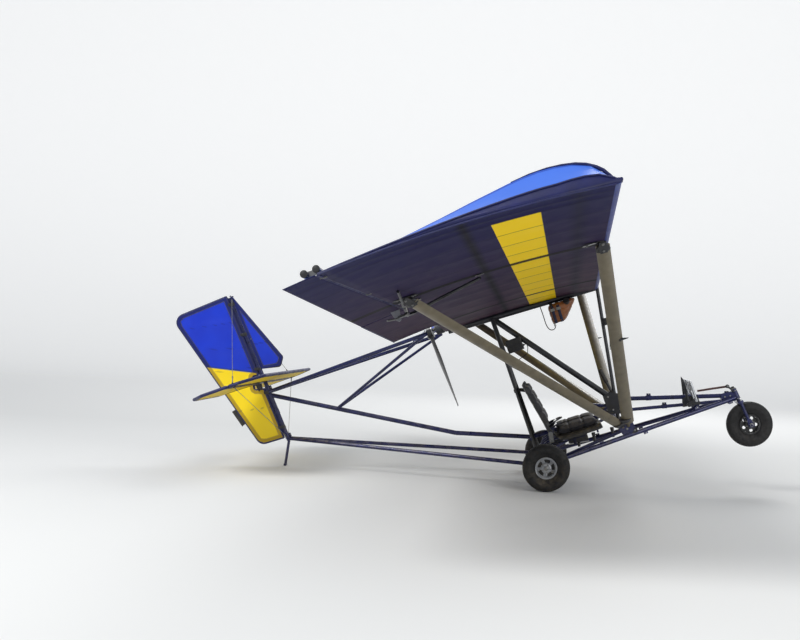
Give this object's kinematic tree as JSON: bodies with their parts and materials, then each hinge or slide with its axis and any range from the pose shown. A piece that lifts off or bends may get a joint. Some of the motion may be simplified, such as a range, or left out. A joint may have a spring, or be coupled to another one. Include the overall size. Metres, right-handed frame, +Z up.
{
  "type": "microlight aircraft",
  "caption": "High-wing strut-braced pusher microlight with an open tube frame, side-by-side seats, tricycle wheels and a fabric tail, parked on its tail skid.",
  "frame": {"origin": "on the ground under the centre of the bounding box", "axes": "+X towards the nose, +Y to port along the span, +Z up"},
  "size_m": [5.185, 9.5402, 2.0585],
  "materials": {
    "wing_fabric": "glossy sailcloth",
    "aileron_fabric": "sailcloth",
    "tail_fabric": "sailcloth",
    "strut_fairing": "satin",
    "tyre": "matte",
    "rim": "cast",
    "seat_cloth": "woven",
    "engine_alloy": "cast",
    "exhaust_steel": "heat dulled",
    "propeller_black": "satin",
    "tank_plastic": "matte",
    "black_plastic": "matte",
    "bare_alloy": "mill",
    "black_tube": "anodised",
    "blue_tube": "anodised"
  },
  "bodies": {
    "airframe": {"axle": "bare_alloy", "boom_diagonal_left": "blue_tube", "boom_diagonal_right": "blue_tube", "carburettors": "engine_alloy", "control_stick": "black_plastic", "crankcase": "engine_alloy", "cylinders": "engine_alloy", "engine_mount": "black_tube", "equipment_box": "black_plastic", "exhaust": "exhaust_steel", "fin": "tail_fabric", "foot_brace_left": "blue_tube", "foot_brace_right": "blue_tube", "foot_cross_tube": "blue_tube", "front_downtube": "black_tube", "front_strut_left": "strut_fairing", "front_strut_right": "strut_fairing", "front_tube": "blue_tube", "fuel_tank": "tank_plastic", "instrument_box": "black_plastic", "keel_front": "blue_tube", "keel_rear": "blue_tube", "lower_boom_left": "blue_tube", "lower_boom_right": "blue_tube", "lower_frame_left": "blue_tube", "lower_frame_right": "blue_tube", "nose_tube_lower": "blue_tube", "nose_tube_upper": "blue_tube", "rear_downtube_left": "blue_tube", "rear_downtube_right": "blue_tube", "rear_strut_left": "strut_fairing", "rear_strut_right": "strut_fairing", "reduction_drive": "engine_alloy", "root_tube": "blue_tube", "rudder_pedals": "bare_alloy", "seat_brace": "blue_tube", "seat_cross_tube": "blue_tube", "seat_front_tube": "blue_tube", "seat_keel": "blue_tube", "seat_left": "seat_cloth", "seat_right": "seat_cloth", "stabilizer": "tail_fabric", "steering_head": "bare_alloy", "tail_post": "black_tube", "upper_boom_left": "blue_tube", "upper_boom_right": "blue_tube", "wing_left": "wing_fabric", "wing_right": "wing_fabric"},
    "main_wheel_left": {"tyre_left": "tyre", "rim_left": "rim"},
    "main_wheel_right": {"tyre_right": "tyre", "rim_right": "rim"},
    "nose_wheel": {"tyre_nose": "tyre", "rim_nose": "rim"},
    "nose_steering": {"nose_fork": "black_tube"},
    "propeller": {"propeller": "propeller_black"},
    "rudder": {"rudder": "tail_fabric"},
    "elevator": {"elevator": "tail_fabric"},
    "aileron_left": {"aileron_left": "aileron_fabric"},
    "aileron_right": {"aileron_right": "aileron_fabric"}
  },
  "joints": [
    {"name": "main_wheel_left_spin", "type": "hinge", "parent": "airframe", "child": "main_wheel_left", "pos_m": [0.71626, 0.756, 0.19], "axis": [0, 1, 0], "continuous": true},
    {"name": "main_wheel_right_spin", "type": "hinge", "parent": "airframe", "child": "main_wheel_right", "pos_m": [0.71626, -0.756, 0.19], "axis": [0, 1, 0], "continuous": true},
    {"name": "nose_steer", "type": "hinge", "parent": "airframe", "child": "nose_steering", "pos_m": [2.40272, 0, 0.57571], "axis": [-0.4481, 0, 0.894], "range_deg": [-25, 25]},
    {"name": "nose_wheel_spin", "type": "hinge", "parent": "nose_steering", "child": "nose_wheel", "pos_m": [2.40272, 0, 0.57571], "axis": [0, 1, 0], "continuous": true},
    {"name": "propeller_spin", "type": "hinge", "parent": "airframe", "child": "propeller", "pos_m": [-0.33575, 0, 1.23345], "axis": [0.9072, 0, 0.4208], "continuous": true},
    {"name": "rudder_hinge", "type": "hinge", "parent": "airframe", "child": "rudder", "pos_m": [-1.57249, 0, 0.23997], "axis": [-0.4292, 0, 0.9032], "range_deg": [-22, 22]},
    {"name": "elevator_hinge", "type": "hinge", "parent": "airframe", "child": "elevator", "pos_m": [-1.80919, 0, 0.72234], "axis": [0, 1, 0], "range_deg": [-20, 20]},
    {"name": "aileron_left_hinge", "type": "hinge", "parent": "airframe", "child": "aileron_left", "pos_m": [-0.3156, 2.37955, 1.37941], "axis": [-0.0743, 0.9963, 0.0427], "range_deg": [-20, 20]},
    {"name": "aileron_right_hinge", "type": "hinge", "parent": "airframe", "child": "aileron_right", "pos_m": [-0.3156, -2.37955, 1.37941], "axis": [-0.0743, -0.9963, 0.0427], "range_deg": [-20, 20]}
  ]
}
